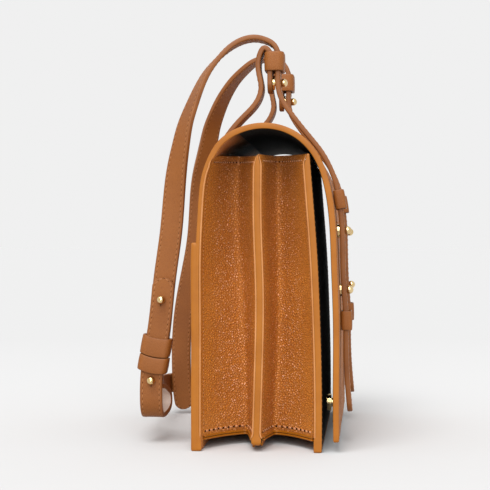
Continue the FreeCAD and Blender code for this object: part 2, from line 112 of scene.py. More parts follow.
# Side views of the sheets and straps as (forward, height), and the sling strap's stations as (x, forward,
# height, turn of its width in degrees).
SHELL = [
    (-35.0, 0), (-35.0, 50), (-35.0, 100), (-34.9, 140), (-33.4, 172), (-30.0, 197), (-25.8, 207.5),
    (-18.6, 218.4), (-4.5, 227.3), (13.3, 230.6), (30.8, 226.8), (42.5, 219.0), (52.6, 205.6),
    (59.3, 186), (62.9, 162), (64.5, 130), (65.6, 95), (65.6, 50), (65.6, 7.4)]
FRONT = [
    (53.6, 0), (53.6, 45), (52.5, 90), (50.3, 140), (47.3, 180), (45.0, FRONT_TOP)]
DIVIDER = [
    (7.7, 4.4), (9.4, 60), (10.1, 113), (8.6, 160), (8.8, DIVIDER_TOP)]
HANGER = [
    (-37.0, 151), (-36.6, 165), (-34.8, 181), (-32.3, 196), (-27.8, 208.2), (-22.2, 217.6),
    (-14.5, 228.9), (-4.8, 239.7), (4.4, 250), (7.7, 260), (6.2, 270), (5.4, 278), (6.8, 285),
    (10.2, 289.6), (13.9, 286.6), (14.3, 279), (14.1, 272.7), (14.1, 256.4)]
BELT_RUN = [
    (20.0, 280.0), (20.0, 272.6), (20.0, 263), (22.0, 253.4), (28.0, 243.4), (36.5, 232.2), (46.3, 220.2),
    (51.5, 213.4), (56.4, 205), (62.3, 190), (64.8, 178), (66.6, 162), (67.3, 140), (68.3, 112),
    (69.4, 97), (69.7, 83), (70.2, 53), (72.6, 23)]
STRAP_LEFT = [
    (-61, 20, 279.5, 0), (-61, 19.9, 286, 0), (-61, 17.4, 291.6, 0), (-61, 11.2, 295.6, 0),
    (-62, 1.7, 297.4, 2), (-63, -9.4, 294.5, 5), (-65, -18.1, 288.5, 10), (-67, -25.5, 280.7, 16),
    (-69, -31.3, 273, 21), (-72, -37.3, 261.1, 27), (-75, -42.5, 247.2, 35), (-78, -46.9, 233.1, 43),
    (-79.5, -49.8, 218.4, 52), (-80, -52.5, 202, 64), (-80, -57.1, 154, 86), (-80, -61.6, 121, 90),
    (-80, -66, 80, 90), (-80, -70, 56, 90)]
STRAP_RIGHT = [
    (61, 20, 279.5, 0), (61, 19.9, 287, 0), (61, 17.6, 293.4, 0), (61, 12.4, 298, 0),
    (61.5, 3, 300.5, -5), (62, -7.5, 298.5, -10), (63, -16, 292.5, -15), (65, -24.5, 284.6, -20),
    (68, -31.7, 275.5, -26), (71, -37.6, 265.8, -33), (74, -42.6, 255.2, -40), (77, -46.5, 245.3, -47),
    (79, -49.5, 233, -55), (80, -52, 222, -62), (82, -56, 205, -70), (84, -60.7, 152, -88),
    (84, -66.4, 119, -90), (84, -71.6, 90, -90), (84, -74.0, 60, -90), (84, -73.8, 33, -90),
    (84, -73.0, 20, -90), (84, -71.5, 10, -90), (84, -70.0, 4.0, -90)]
CROSS_RUN = [
    (-80, -70.8, 51, 0), (-79.5, -71.1, 48.6, 0), (-76.8, -71.5, 46, 0), (-68, -72.6, 44.6, 0),
    (-56, -74.6, 42.6, 12), (-38, -77.8, 39, 38), (-14, -81.2, 35, 66), (14, -83.6, 31.5, 84),
    (44, -84.8, 28.8, 90), (76, -85.2, 26.6, 90), (83.5, -85.1, 26, 90), (87.6, -84.2, 26, 90),
    (88.7, -79.7, 26, 90), (88.5, -72, 26, 90), (88.5, -66, 26, 90)]
STRAP_LOWER = [
    (-84.3, -61.4, 121.5, 0), (-84.3, -66, 80, 0), (-84.3, -70, 56, 0), (-84.3, -71, 38, 0),
    (-83, -71, 28, 0), (-78, -71, 22, 0), (-69, -70.6, 20.2, 0), (-59, -69.6, 22, 0),
    (-51.8, -68.8, 26.6, 0), (-52.6, -68.9, 33.4, 0), (-59.5, -69.6, 37.4, 0), (-68, -70.5, 40.6, 0),
    (-77.5, -71.2, 42.0, 0)]
HINGE_FROM, HINGE_TO = 27.0, 49.0


def at(forward, height, x=0.0):
    return np.array([x, -(forward + DEPTH_SHIFT), height], float)


# ---------------------------------------------------------------- materials
def nodes_of(name):
    """A new material with its shader and coordinates that stay with the object."""
    material = bpy.data.materials.new(name)
    material.use_nodes = True
    tree = material.node_tree
    coords = tree.nodes.new("ShaderNodeTexCoord").outputs["Object"]
    return material, tree.nodes["Principled BSDF"], coords


def node_beside(socket, kind):
    """A new node in the tree that a socket belongs to."""
    return socket.id_data.nodes.new("ShaderNode" + kind)


def link(value, socket):
    """Feeds a socket from another node's output, or sets it to a number or a colour."""
    if isinstance(value, bpy.types.NodeSocket):
        socket.id_data.links.new(value, socket)
    else:
        socket.default_value = (*value, 1) if isinstance(value, tuple) else value


def noise(coords, scale, detail=3.0, roughness=0.55):
    node = node_beside(coords, "TexNoise")
    inputs = {"Vector": coords, "Scale": scale, "Detail": detail, "Roughness": roughness}
    for socket, value in inputs.items():
        link(value, node.inputs[socket])
    return node.outputs["Fac"]


def ramp(value, stops):
    node = node_beside(value, "ValToRGB")
    for element, (position, colour) in zip(node.color_ramp.elements, stops):
        element.position = position
        element.color = (*colour, 1)
    link(value, node.inputs["Fac"])
    return node.outputs["Color"]


def mix_colour(factor, a, b, mode="MIX"):
    node = node_beside(a, "Mix")
    node.data_type = "RGBA"
    node.blend_type = mode
    for socket, value in ((0, factor), (6, a), (7, b)):
        link(value, node.inputs[socket])
    return node.outputs[2]


def maths(operation, *values):
    node = node_beside(values[0], "Math")
    node.operation = operation
    for value, socket in zip(values, node.inputs):
        link(value, socket)
    return node.outputs[0]


def remap(value, source, result=(0, 1), smooth=False):
    """A value carried from one range to another, evenly or along an S-curve."""
    node = node_beside(value, "MapRange")
    node.interpolation_type = "SMOOTHSTEP" if smooth else "LINEAR"
    for socket, number in zip(("From Min", "From Max", "To Min", "To Max"), (*source, *result)):
        node.inputs[socket].default_value = number
    link(value, node.inputs["Value"])
    return node.outputs[0]


def bump(shader, height, strength, distance, before=None):
    node = node_beside(height, "Bump")
    node.inputs["Strength"].default_value = strength
    node.inputs["Distance"].default_value = distance
    link(height, node.inputs["Height"])
    if before is not None:
        link(before, node.inputs["Normal"])
    link(node.outputs["Normal"], shader.inputs["Normal"])
    return node.outputs["Normal"]


def dye(shader, value, dark, light, stops=(0.3, 0.7)):
    """The shader's colour, between a dark and a light one."""
    link(ramp(value, list(zip(stops, (dark, light)))), shader.inputs["Base Color"])


def gloss(shader, roughness, specular=0.5):
    shader.inputs["Roughness"].default_value = roughness
    shader.inputs["Specular IOR Level"].default_value = specular


def axis_of(coords, axis):
    place = node_beside(coords, "SeparateXYZ")
    link(coords, place.inputs[0])
    return place.outputs[axis]


def depth_in_fold(coords, near, far):
    """0 at the bag's sides and 1 further in, between two distances from its middle plane, in metres."""
    return remap(maths("ABSOLUTE", axis_of(coords, "X")), (near, far), smooth=True)


def pebbles(coords, scale):
    """1 on the raised cells of the grain, falling to 0 in the creases between them."""
    jitter = node_beside(coords, "TexNoise")
    jitter.inputs["Scale"].default_value = scale * 0.35
    link(coords, jitter.inputs["Vector"])
    warp = node_beside(coords, "VectorMath")
    warp.operation = "MULTIPLY_ADD"
    link(jitter.outputs["Color"], warp.inputs[0])
    warp.inputs[1].default_value = [0.9 / scale] * 3
    link(coords, warp.inputs[2])
    cells = node_beside(coords, "TexVoronoi")
    cells.feature = "DISTANCE_TO_EDGE"
    cells.inputs["Scale"].default_value = scale
    link(warp.outputs[0], cells.inputs["Vector"])
    return maths("MINIMUM", maths("MULTIPLY", cells.outputs["Distance"], 2.6), 1.0)


def painted_fold_shade_and_glints(coords, colour, pebble, fold_shade_and_glint):
    """Painted shade: darker colour further into a fold, most of all near its top, and painted highlights:
    pale glints on the pebbles there.
    """
    fold_mask = depth_in_fold(coords, 0.106, 0.086)
    upper = remap(axis_of(coords, "Z"), (0.120, 0.205))
    # Painted shade deep in the fold, deeper still towards its top.
    for share in (maths("MULTIPLY", fold_mask, 0.75), maths("MULTIPLY", upper, fold_mask)):
        colour = mix_colour(share, colour, FOLD_SHADE_TINT, "MULTIPLY")
    # Painted highlights: pale glints on the pebbles deep in the fold.
    spots = maths("MULTIPLY", noise(coords, 330.0, 2.0), pebble)
    pale = (fold_shade_and_glint, fold_shade_and_glint * 0.80, fold_shade_and_glint * 0.76)
    spots = ramp(maths("MULTIPLY", spots, fold_mask), [(0.34, (0, 0, 0)), (0.70, pale)])
    return mix_colour(1.0, colour, spots, "ADD")


def leather(name, light, dark, grain_scale, grain_depth, roughness, crease_tone_and_shade=(0.80, 0.74, 0.70), fold_shade_and_glint=0.0,
            specular=0.4):
    """Grained leather: pebbles between fine creases, cloudy dye and slightly shinier high spots; with a fold
    shade and glint amount, also painted shade and painted highlights deep in folds.
    """
    material, shader, coords = nodes_of(name)
    cloud = noise(coords, 22.0, 4.0)
    fine = noise(coords, 420.0, 2.0)
    pebble = pebbles(coords, grain_scale)
    colour = ramp(cloud, [(0.3, dark), (0.72, light)])
    # Darker creases between the pebbles: partly the grain's own tone, partly painted shade.
    creases = ramp(pebble, [(0.0, crease_tone_and_shade), (0.5, (1, 1, 1))])
    colour = mix_colour(1.0, colour, creases, "MULTIPLY")
    if fold_shade_and_glint:
        colour = painted_fold_shade_and_glints(coords, colour, pebble, fold_shade_and_glint)
    link(colour, shader.inputs["Base Color"])
    gloss(shader, roughness, specular)
    link(remap(pebble, (0, 1), (roughness + 0.1, roughness - 0.06)), shader.inputs["Roughness"])
    height = maths("ADD", pebble, maths("MULTIPLY", fine, 0.35))
    first = bump(shader, height, 0.8, grain_depth)
    bump(shader, cloud, 0.5, 0.0012, first)
    return material


def facing_leather(name, light, dark, inner):
    """Facing inside the arch: leather at the rim, darkened towards the middle of the bag's width as painted
    shade, and passing smoothly into the dark lining's colour near the turn.
    """
    material = leather(name, light, dark, 1100.0, 0.0002, 0.6, specular=0.1)
    tree = material.node_tree
    coords = tree.nodes["Texture Coordinate"].outputs["Object"]
    base = tree.nodes["Principled BSDF"].inputs["Base Color"]
    # Painted shade: the facing darkens towards the middle of the bag's width, deep inside the arch.
    shade_inwards = depth_in_fold(coords, 0.080, 0.005)
    along = remap(axis_of(coords, "Y"), (0.008, -0.005), smooth=True)
    share = maths("MAXIMUM", shade_inwards, along)
    link(mix_colour(share, base.links[0].from_socket, inner), base)
    return material


def painted_edge(name, light, dark):
    """Edge paint: smooth and slightly glossy, with fine unevenness."""
    material, shader, coords = nodes_of(name)
    cloud = noise(coords, 60.0, 3.0)
    fine = noise(coords, 900.0, 2.0)
    dye(shader, cloud, dark, light)
    gloss(shader, 0.45, 0.3)
    bump(shader, maths("ADD", cloud, maths("MULTIPLY", fine, 0.2)), 0.35, 0.0004)
    return material


def napped(name, light, dark, nap_size, detail, cloud_size, low_stop, roughness, specular, strength):
    """A matt fibrous surface: a fine nap over a cloudy dye."""
    material, shader, coords = nodes_of(name)
    nap = noise(coords, nap_size, detail, 0.7)
    cloud = noise(coords, cloud_size, 3.0)
    both = maths("MULTIPLY", maths("ADD", nap, cloud), 0.5)
    dye(shader, both, dark, light, (low_stop, 0.7))
    gloss(shader, roughness, specular)
    bump(shader, nap, strength, 0.0004)
    return material


def flesh(name, light, dark):
    """Unfinished flesh side: pale, fibrous and matt."""
    return napped(name, light, dark, 700.0, 5.0, 60.0, 0.3, 0.85, 0.5, 0.5)


def suede(name, light, dark):
    """Napped lining: nearly black, with a short directionless nap."""
    return napped(name, light, dark, 1100.0, 4.0, 35.0, 0.35, 0.92, 0.15, 0.6)


def thread(name, light, dark):
    """Waxed thread with a twist."""
    material, shader, coords = nodes_of(name)
    twist = noise(coords, 1400.0, 2.0)
    dye(shader, twist, dark, light)
    gloss(shader, 0.5)
    bump(shader, twist, 0.4, 0.0002)
    return material


def metal(name, light, dark, roughness):
    """Polished metal with faint handling marks."""
    material, shader, coords = nodes_of(name)
    marks = noise(coords, 260.0, 4.0)
    dye(shader, marks, dark, light, (0.3, 0.65))
    link(remap(marks, (0, 1), (roughness, roughness + 0.1)), shader.inputs["Roughness"])
    shader.inputs["Metallic"].default_value = 1.0
    bump(shader, marks, 0.1, 0.0002)
    return material


# Tint multiplied in deep in the gussets' folds as painted shade.
FOLD_SHADE_TINT = (0.83, 0.82, 0.98)
PANEL = leather("panel_leather", (0.42, 0.150, 0.028), (0.34, 0.108, 0.018), 1100.0, 0.00022, 0.5,
                specular=0.15)
# The gussets get painted shade and painted highlights deep in their folds.
GUSSETS = leather("gusset_leather", (0.66, 0.232, 0.026), (0.56, 0.182, 0.015), 600.0, 0.0008, 0.46,
                  (0.62, 0.54, 0.50), 0.42)
STRAPS = leather("strap_leather", (0.28, 0.094, 0.015), (0.215, 0.068, 0.010), 1300.0, 0.00012, 0.5,
                 specular=0.3)
EDGES = painted_edge("painted_edge", (0.34, 0.112, 0.005), (0.29, 0.090, 0.003))
# Lighter edge paint for the gussets' flange edges: a painted highlight along their rounded corners.
EDGE_HIGHLIGHT = painted_edge("flange_edge_highlight", (0.50, 0.215, 0.075), (0.40, 0.155, 0.045))
STRAP_EDGES = painted_edge("strap_edge", (0.23, 0.080, 0.018), (0.18, 0.058, 0.012))
BACKS = flesh("flesh_side", (0.72, 0.62, 0.55), (0.60, 0.48, 0.40))
SUEDE = suede("suede_lining", (0.018, 0.015, 0.012), (0.008, 0.007, 0.0055))
# Its darkest colour is both the lining's colour and the painted shade deep in the arch.
FACING = facing_leather("facing_leather", (0.62, 0.250, 0.090), (0.46, 0.165, 0.050), (0.013, 0.011, 0.009))
THREAD = thread("tan_thread", (0.36, 0.15, 0.042), (0.26, 0.095, 0.022))
RED_THREAD = thread("russet_thread", (0.62, 0.29, 0.13), (0.32, 0.11, 0.035))
# Needle holes and buttonholes are dark marks: painted shade in the holes.
HOLE_SHADE = suede("stitch_hole_shade", (0.05, 0.012, 0.004), (0.03, 0.008, 0.003))
BRASS = metal("pale_brass", (0.80, 0.62, 0.34), (0.66, 0.46, 0.20), 0.10)
STEEL = metal("plain_steel", (0.45, 0.44, 0.42), (0.34, 0.33, 0.32), 0.3)


# ---------------------------------------------------------------- geometry
def lengths_along(points):
    """Length from the start of a polyline to each of its points."""
    return np.concatenate([[0], np.cumsum(np.linalg.norm(np.diff(points, axis=0), axis=1))])


def sample(values, lengths, s):
    """Rows of values at some lengths along the line they belong to."""
    return np.stack([np.interp(s, lengths, column) for column in values.T], axis=-1)


def unit(vectors):
    return vectors / np.linalg.norm(vectors, axis=-1, keepdims=True)


class Line:
    """A smooth line through points, with a width direction carried along it."""

    def __init__(self, points, acrosses=None, samples=600):
        points = np.asarray(points, float)
        if acrosses is None:
            acrosses = np.tile([1.0, 0, 0], (len(points), 1))
        chord = lengths_along(points)
        fine = np.linspace(0, chord[-1], samples)
        self.points = cubic(chord, points, fine)
        across = cubic(chord, np.asarray(acrosses, float), fine)
        self.length_at = lengths_along(self.points)
        self.length = self.length_at[-1]
        self.tangent = unit(np.gradient(self.points, self.length_at, axis=0))
        across -= self.tangent * np.sum(across * self.tangent, axis=1)[:, None]
        self.across = unit(across)
        self.normal = np.cross(self.tangent, self.across)

    def take(self, values, s):
        return sample(values, self.length_at, s)

    def frames(self, s):
        """Places, tangents, width directions and normals at some lengths along the line."""
        return [self.take(values, s) for values in (self.points, self.tangent, self.across, self.normal)]

    def nearest(self, axis, value, low, high):
        """Length along the line where a coordinate is nearest a value, between two shares of its length."""
        inside = (self.length_at >= low * self.length) & (self.length_at <= high * self.length)
        gaps = np.abs(self.points[:, axis] - value)
        return self.length_at[np.argmin(np.where(inside, gaps, np.inf))]

    def at_height(self, height, low=0.0, high=1.0):
        return self.nearest(2, height, low, high)

    def at_forward(self, forward, low=0.0, high=1.0):
        return self.nearest(1, -(forward + DEPTH_SHIFT), low, high)


def cubic(knots, values, where):
    """Natural cubic spline through values at knots, one column at a time."""
    count = len(knots)
    gaps = np.diff(knots)
    matrix = np.eye(count)
    right = np.zeros((count, values.shape[1]))
    for i in range(1, count - 1):
        matrix[i, i - 1] = gaps[i - 1]
        matrix[i, i] = 2 * (gaps[i - 1] + gaps[i])
        matrix[i, i + 1] = gaps[i]
        right[i] = 6 * ((values[i + 1] - values[i]) / gaps[i] - (values[i] - values[i - 1]) / gaps[i - 1])
    second = np.linalg.solve(matrix, right)
    k = np.clip(np.searchsorted(knots, where, side="right") - 1, 0, count - 2)
    h = gaps[k][:, None]
    a = ((knots[k + 1] - where) / gaps[k])[:, None]
    b = 1 - a
    curved = (a ** 3 - a) * second[k] + (b ** 3 - b) * second[k + 1]
    return a * values[k] + b * values[k + 1] + curved * h * h / 6


def profile(pairs, x=0.0):
    return Line([at(forward, height, x) for forward, height in pairs])


def add_object(name, data):
    item = bpy.data.objects.new(name, data)
    bpy.context.scene.collection.objects.link(item)
    return item


def make_object(name, vertices, faces, materials, indices):
    """A smooth mesh from points in millimetres, whose faces are numbered by material."""
    mesh = bpy.data.meshes.new(name)
    mesh.from_pydata((np.asarray(vertices) * MILLIMETRE).tolist(), [], faces)
    for material in materials:
        mesh.materials.append(material)
    mesh.polygons.foreach_set("material_index", np.asarray(indices, np.int32))
    mesh.polygons.foreach_set("use_smooth", [True] * len(mesh.polygons))
    mesh.update()
    return add_object(name, mesh)


def tidy_normals(piece):
    mesh = bmesh.new()
    mesh.from_mesh(piece.data)
    bmesh.ops.recalc_face_normals(mesh, faces=mesh.faces)
    mesh.to_mesh(piece.data)
    mesh.free()


def attach(piece, body="bag", bend=None):
    """Puts a piece on one body or, when a bend is given, only bakes its transform into its mesh and leaves
    it on no body.
    """
    if bend:
        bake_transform(piece)
    else:
        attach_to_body(piece, body)


def stand_for(piece, slot, nodes, body="bag", bend=None):
    """Hides the CAD nodes that a piece stands for, and attaches it as attach() does. The slot argument is
    not used.
    """
    if nodes:
        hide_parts(*nodes)
    attach(piece, body, bend)


OUTER, EDGE, INNER, BEVEL = 0, 1, 2, 3


def ring(half_width, near, far, radius, face_steps):
    """Rounded rectangle section as rows of (across, out, zone), walked once round."""
    half_depth = (near - far) / 2
    middle = (near + far) / 2
    radius = max(min(radius, half_width - 0.05, half_depth - 0.05), 0.01)
    flat, rise = half_width - radius, half_depth - radius
    arc = [math.pi / 2 * step / CORNER_STEPS for step in range(CORNER_STEPS + 1)]
    rows = []
    for side, zone in ((1, OUTER), (-1, INNER)):
        for step in range(face_steps + 1):
            rows.append((side * flat * (2 * step / face_steps - 1), middle + side * half_depth, zone))
        corner = [(flat + radius * math.sin(turn), rise + radius * math.cos(turn)) for turn in arc]
        rows += [(side * u, middle + side * v, EDGE) for u, v in corner[1:]]
        rows += [(side * u, middle - side * v, EDGE) for u, v in corner[:0:-1]]
    return rows


def tube(rows, zones, closed=False):
    """Faces of a tube of like sections, and their zones. An open tube has capped ends."""
    count = len(zones)
    faces, indices = [], []
    for i in range(rows if closed else rows - 1):
        j = (i + 1) % rows
        for k in range(count):
            m = (k + 1) % count
            faces.append((i * count + k, j * count + k, j * count + m, i * count + m))
            indices.append(zones[k] if zones[k] == zones[m] else EDGE)
    if not closed:
        faces.append(tuple(range(count)))
        faces.append(tuple(range((rows - 1) * count, rows * count))[::-1])
        indices += [EDGE, EDGE]
    return faces, indices


def band(name, line, s, half_width, near, far, radius, materials, face_steps=2, crown=0.0, ripple=None,
         end_radius=None):
    """A leather strip along a line: rounded edges, domed ends, its own material on face, edge and back.

    Half width and the two faces' distances from the line may each be one number or one per position."""
    end_radius = end_radius or radius
    domes = np.array([0.0, 0.07, 0.25, 0.6, 1.0]) * end_radius
    head, tail = s[0] + domes, s[-1] - domes[::-1]
    inside = (s > head[-1] + 0.01) & (s < tail[0] - 0.01)
    values = [np.broadcast_to(value, s.shape) for value in (half_width, near, far)]
    along = np.concatenate([head, s[inside], tail])
    widths, near, far = (np.interp(along, s, value) for value in values)
    part = np.clip(1 - np.minimum(along - along[0], along[-1] - along) / end_radius, 0, 1)
    shrink = np.minimum(end_radius * (1 - np.sqrt(1 - part ** 2)), (near - far) * 0.45)
    sections = [ring(max(wide - cut, 0.3), high - cut, low + cut, max(radius - cut, 0.05), face_steps)
                for wide, high, low, cut in zip(widths, near, far, shrink)]
    grid = np.array([[(u, v) for u, v, _ in rows] for rows in sections])
    if crown:
        reach = np.maximum(widths, 0.3)[:, None]
        grid[:, :, 1] += crown * (1 - (grid[:, :, 0] / reach) ** 2)
    if ripple is not None:
        grid[:, :, 1] += ripple(along[:, None], grid[:, :, 0])
    place, _, across, normal = (rows[:, None, :] for rows in line.frames(along))
    vertices = place + across * grid[:, :, :1] + normal * grid[:, :, 1:]
    faces, indices = tube(len(along), [zone for _, _, zone in sections[0]])
    return make_object(name, vertices.reshape(-1, 3), faces, materials, indices)


def steps(start, end, pitch):
    return np.linspace(start, end, max(int(abs(end - start) / pitch) + 1, 2))


def with_tips(start, end, pitch, half_width, head=False, tail=False):
    """Positions and half widths for a strip whose ends may be rounded in its own plane."""
    turn = np.linspace(0.06, 1, 9) * math.pi / 2
    reach = half_width * (1 - np.cos(turn))
    s = [steps(start, end, pitch)] + [start + reach] * head + [end - reach] * tail
    s = np.unique(np.round(np.concatenate(s), 4))
    widths = np.full(len(s), half_width, float)
    for rounded, distance in ((head, s - start), (tail, end - s)):
        if rounded:
            near = np.clip(distance, 0, half_width)
            widths = np.minimum(widths, np.sqrt(half_width ** 2 - (half_width - near) ** 2) + 0.3)
    return s, widths


class Stitching:
    """Collects stitches and their needle holes, then makes one piece of them."""
    STITCH, HOLE = 0, 1

    def __init__(self, name, colour=THREAD):
        self.name = name
        self.colour = colour
        self.vertices, self.faces, self.indices = [], [], []

    def add(self, rings, sides, kind):
        """A closed tube through rings, each given by its centre and two radius vectors."""
        base = len(self.vertices)
        turns = np.arange(sides) * 2 * math.pi / sides
        for centre, first, second in rings:
            self.vertices.extend(centre + np.outer(np.cos(turns), first) + np.outer(np.sin(turns), second))
        faces, _ = tube(len(rings), [kind] * sides)
        self.faces += [tuple(base + corner for corner in face) for face in faces]
        self.indices += [kind] * len(faces)

    def stitch(self, a, b, normal, radius):
        side = np.cross(unit(b - a), normal) * radius
        up = normal * radius
        rings = [(a + (b - a) * share + up * rise, side * size, up * size)
                 for share, size, rise in STITCH_SHAPE]
        self.add(rings, STITCH_SIDES, self.STITCH)

    def hole(self, centre, normal, along, radius):
        """A dark mark in the surface, painted shade standing for a hole, a little longer than it is wide."""
        side = np.cross(along, normal)
        rings = [(centre + normal * rise, side * 0.8 * radius * size, -along * radius * size)
                 for size, rise in ((1.0, -0.06), (0.8, 0.03))]
        self.add(rings, HOLE_SIDES, self.HOLE)

    def run(self, points, normals, pitch=PITCH, radius=0.36, share=0.62):
        """Stitches along a polyline that lies on the leather's surface."""
        lengths = lengths_along(points)
        total = max(int(lengths[-1] / pitch), 1)
        pitch = lengths[-1] / total
        for i in range(total):
            start = (i + (1 - share) / 2) * pitch
            end = start + share * pitch
            needle, a, b = sample(points, lengths, [i * pitch, start, end])
            normal = unit(sample(normals, lengths, (start + end) / 2))
            along = unit(b - a)
            lean = np.cross(along, normal) * STITCH_SLANT * pitch / 2
            self.stitch(a - lean, b + lean, normal, radius)
            self.hole(needle, normal, along, radius * 1.15)

    def finish(self, body="bag", bend=None):
        piece = make_object(self.name, self.vertices, self.faces, [self.colour, HOLE_SHADE], self.indices)
        attach(piece, body, bend)


def side_seams(stitching, line, s, widths, level, sign=1, inset=2.0):
    """Two rows of stitches along a strap's edges, following its rounded tips."""
    place, _, across, normal = line.frames(s)
    keep = widths > inset + 0.4
    for side in (-1, 1):
        points = place + across * (side * (widths - inset))[:, None] + normal * level
        stitching.run(points[keep], normal[keep] * sign)


def seam(stitching, line, s, u, level, ripple=None, sign=1):
    """A row of stitches on a sheet, at lengths s along its line, u across it and a level off it."""
    place, _, across, normal = line.frames(s)
    u = np.broadcast_to(u, s.shape)
    lift = np.broadcast_to(level + (ripple(s, u) if ripple else 0), s.shape)
    stitching.run(place + across * u[:, None] + normal * lift[:, None], normal * sign)


def border(stitching, line, s, rows, level, ripple=None, sign=1):
    """Stitches down both sides of a wide panel at lengths s, and across it at each of some rows."""
    edge = HALF - SEAM_INSET
    for side in (-1, 1):
        seam(stitching, line, s, side * edge, level, ripple, sign)
    u = np.linspace(-edge, edge, 120)
    for row in rows:
        seam(stitching, line, np.full(len(u), row), u, level, ripple, sign)


def smooth_step(value, low, high):
    share = np.clip((np.asarray(value, float) - low) / (high - low), 0, 1)
    return share * share * (3 - 2 * share)


def foot_share(heights):
    """1 at the foot, where the layers are glued into one thickness, and 0 where the gusset begins."""
    return 1 - smooth_step(heights, GUSSET_FOOT - 0.4, GUSSET_FOOT + 2.2)


def point_share(heights, top):
    """0 below the sharpened top of a wall and its flanges, and 1 at its point."""
    return smooth_step(heights, top - POINT_HEIGHT, top)


# ---------------------------------------------------------------- panels
shell = profile(SHELL)
front = profile(FRONT)
divider = profile(DIVIDER)
CROWN_AT = shell.at_forward(13.3, 0.3, 0.6)
HINGE = ("bag", "front_flap", tuple(at(HINGE_FROM, 223) * MILLIMETRE), tuple(at(HINGE_TO, 223) * MILLIMETRE))
STRAP_BEND = ("bag", "shoulder_strap", tuple(at(20, 290) * MILLIMETRE), tuple(at(5, 290) * MILLIMETRE))


def undulation(amount, seed, wave_s, wave_u):
    """Slow, shallow unevenness of a hide."""
    generator = random.Random(seed)
    phases = [generator.uniform(0, 6.28) for _ in range(4)]

    def ripple(s, u):
        return amount * (np.sin(s / wave_s + phases[0]) * np.cos(u / wave_u + phases[1])
                         + 0.5 * np.sin(s / wave_s * 1.9 + u / wave_u * 0.7 + phases[2])
                         + 0.35 * np.cos(u / wave_u * 2.3 + s / wave_s * 0.6 + phases[3])) / 1.85
    return ripple


hide_waves = undulation(0.28, 4, 31.0, 37.0)


def hide_ripple(s, u):
    """The hide's unevenness, with the arch a little lower at the far side."""
    rise = smooth_step(s, CROWN_AT - 45, CROWN_AT - 8) * (1 - smooth_step(s, CROWN_AT + 8, CROWN_AT + 45))
    return hide_waves(s, u) - FAR_SAG * rise * smooth_step(u, 10, HALF)


def lining(name, line, start, end, near, far, nodes, slot="suede_lining", material=SUEDE,
           face_steps=WALL_STEPS, pitch=3.2):
    """A flat sheet glued to a wall, set in from its edges."""
    sheet = band(name, line, steps(start, end, pitch), HALF - LINING_INSET, near, far, 0.4, [material] * 3,
                 face_steps)
    stand_for(sheet, slot, nodes)


def make_shell():
    """Back, arch and flap as one hide, its linings and edge stitching."""
    s = steps(0, shell.length, 2.4)
    heights = shell.frames(s)[0][:, 2]
    start = shell.at_height(ARCH_START, 0, 0.5)
    turn = shell.at_forward(0.0, 0.3, 0.6)
    faced = np.maximum(foot_share(heights), smooth_step(s, start - 4, start + 2))
    faced[s >= start + 20] = 1
    skin = band("shell_leather", shell, s, HALF, 0, -LEATHER - FACED * faced, 0.45,
                [PANEL, EDGES, FACING], HIDE_STEPS, ripple=hide_ripple, end_radius=1.5)
    stand_for(skin, "bridle_leather", ("back_panel", "flap"), bend=HINGE)
    facing = band("arch_facing_leather", shell, steps(start + 3, turn, 3.0), HALF - 1.2, TUCK - LINED,
                  -LINED - 0.1, 0.2, [FACING] * 3, WALL_STEPS, ripple=hide_ripple)
    stand_for(facing, "facing_leather", ("arch_facing",), bend=HINGE)
    suede_sheet = band("arch_suede", shell, steps(turn - 6, shell.length - 14, 3.0), HALF - 3, TUCK - LINED,
                       -LINED - 0.25, 0.2, [SUEDE] * 3, WALL_STEPS, ripple=hide_ripple)
    stand_for(suede_sheet, "suede_lining", ("arch_lining", "flap_lining"), bend=HINGE)
    lining("back_suede", shell, shell.at_height(14, 0, 0.4), start - 1, 0.2 - LEATHER,
           -LEATHER - SUEDE_SHEET, ("back_lining",))
    seams = Stitching("shell_stitching")
    end = shell.length - SEAM_INSET
    border(seams, shell, steps(shell.at_height(POCKET_TOP + 6, 0, 0.4), end, 1.5), [end], 0, hide_ripple)
    seams.finish(bend=HINGE)


def make_back_pocket():
    """Slip pocket on the back, stitched round its four sides."""
    top = shell.at_height(POCKET_TOP, 0, 0.4)
    ripple = undulation(0.25, 9, 27.0, 33.0)
    panel = band("pocket_leather", shell, steps(0.0, top, 3.2), HALF + 0.08, POCKET_LEVEL, -1.6, 1.2,
                 [PANEL, EDGES, PANEL], HIDE_STEPS, ripple=ripple)
    stand_for(panel, "bridle_leather", ("back_slip_pocket",))
    seams = Stitching("pocket_stitching")
    rows = (SEAM_INSET, top - SEAM_INSET)
    border(seams, shell, steps(*rows, 2.0), rows, POCKET_LEVEL, ripple)
    seams.finish()


def make_front():
    """Front wall: black suede outside, where the flap covers it, and inside."""
    s = steps(0, front.length, 1.6)
    heights = front.frames(s)[0][:, 2]
    thick = FRONT_LEATHER + FACED * foot_share(heights) - FRONT_POINT * point_share(heights, FRONT_TOP)
    panel = band("front_panel_leather", front, s, HALF, thick, 0, 0.35, [PANEL, EDGES, SUEDE], WALL_STEPS,
                 end_radius=1.3)
    stand_for(panel, "bridle_leather", ("front_panel",))
    lining("front_suede", front, front.at_height(14), front.length - 3, FRONT_LEATHER + SUEDE_SHEET,
           FRONT_LEATHER - TUCK, ("front_lining",), face_steps=12)
    seams = Stitching("front_panel_stitching")
    rows = (SEAM_INSET, front.length - SEAM_INSET)
    border(seams, front, steps(*rows, 2.0), rows, 0, sign=-1)
    seams.finish()


def divider_half(heights):
    """Half the divider's thickness: thicker at its foot, and sharpened to a point at its top."""
    return DIVIDER_LEATHER / 2 + FACED * foot_share(heights) - 1.5 * point_share(heights, DIVIDER_TOP)


